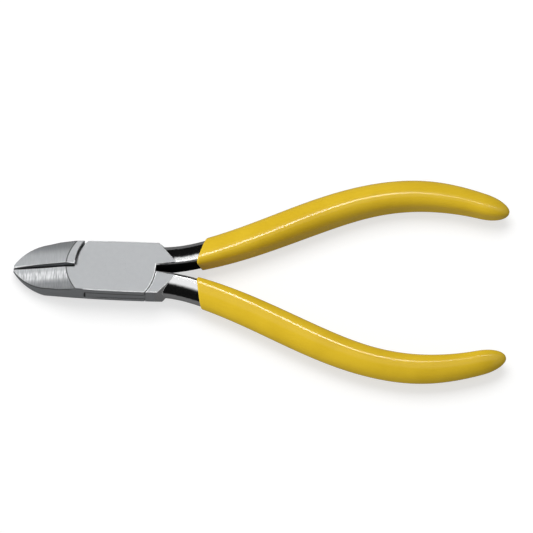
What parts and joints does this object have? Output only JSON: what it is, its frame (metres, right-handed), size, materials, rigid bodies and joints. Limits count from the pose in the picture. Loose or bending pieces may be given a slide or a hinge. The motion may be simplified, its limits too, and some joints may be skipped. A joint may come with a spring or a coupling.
{
  "type": "side cutters",
  "caption": "Small box-joint side cutters for clipping parts from a sprue: short ground jaws with a flush front, hollow bevels behind, and slim dipped grips.",
  "frame": {"origin": "on the pivot axis, in the plane of the rear cheek face", "axes": "+X from the pivot towards the handle ends, +Y towards the upper handle, +Z out of the front (flush) cheek"},
  "size_m": [0.1202, 0.052, 0.0078],
  "materials": {
    "box_half_steel": "satin ground steel, bright hollow-ground bevels and polished handle roots",
    "tongue_half_steel": "satin ground steel, bright hollow-ground bevels and polished handle roots",
    "rivet_steel": "ground flush with the cheeks",
    "grip_plastic": "smooth glossy dipped yellow plastic"
  },
  "bodies": {
    "box_half_body": {"box_half": "box_half_steel", "joint_rivet": "rivet_steel", "upper_grip": "grip_plastic"},
    "tongue_half_body": {"tongue_half": "tongue_half_steel", "lower_grip": "grip_plastic"}
  },
  "joints": [
    {"name": "jaw_pivot", "type": "hinge", "parent": "box_half_body", "child": "tongue_half_body", "pos_m": [0, 0, 0.0034], "axis": [0, 0, -1], "range_deg": [0, 25]}
  ]
}
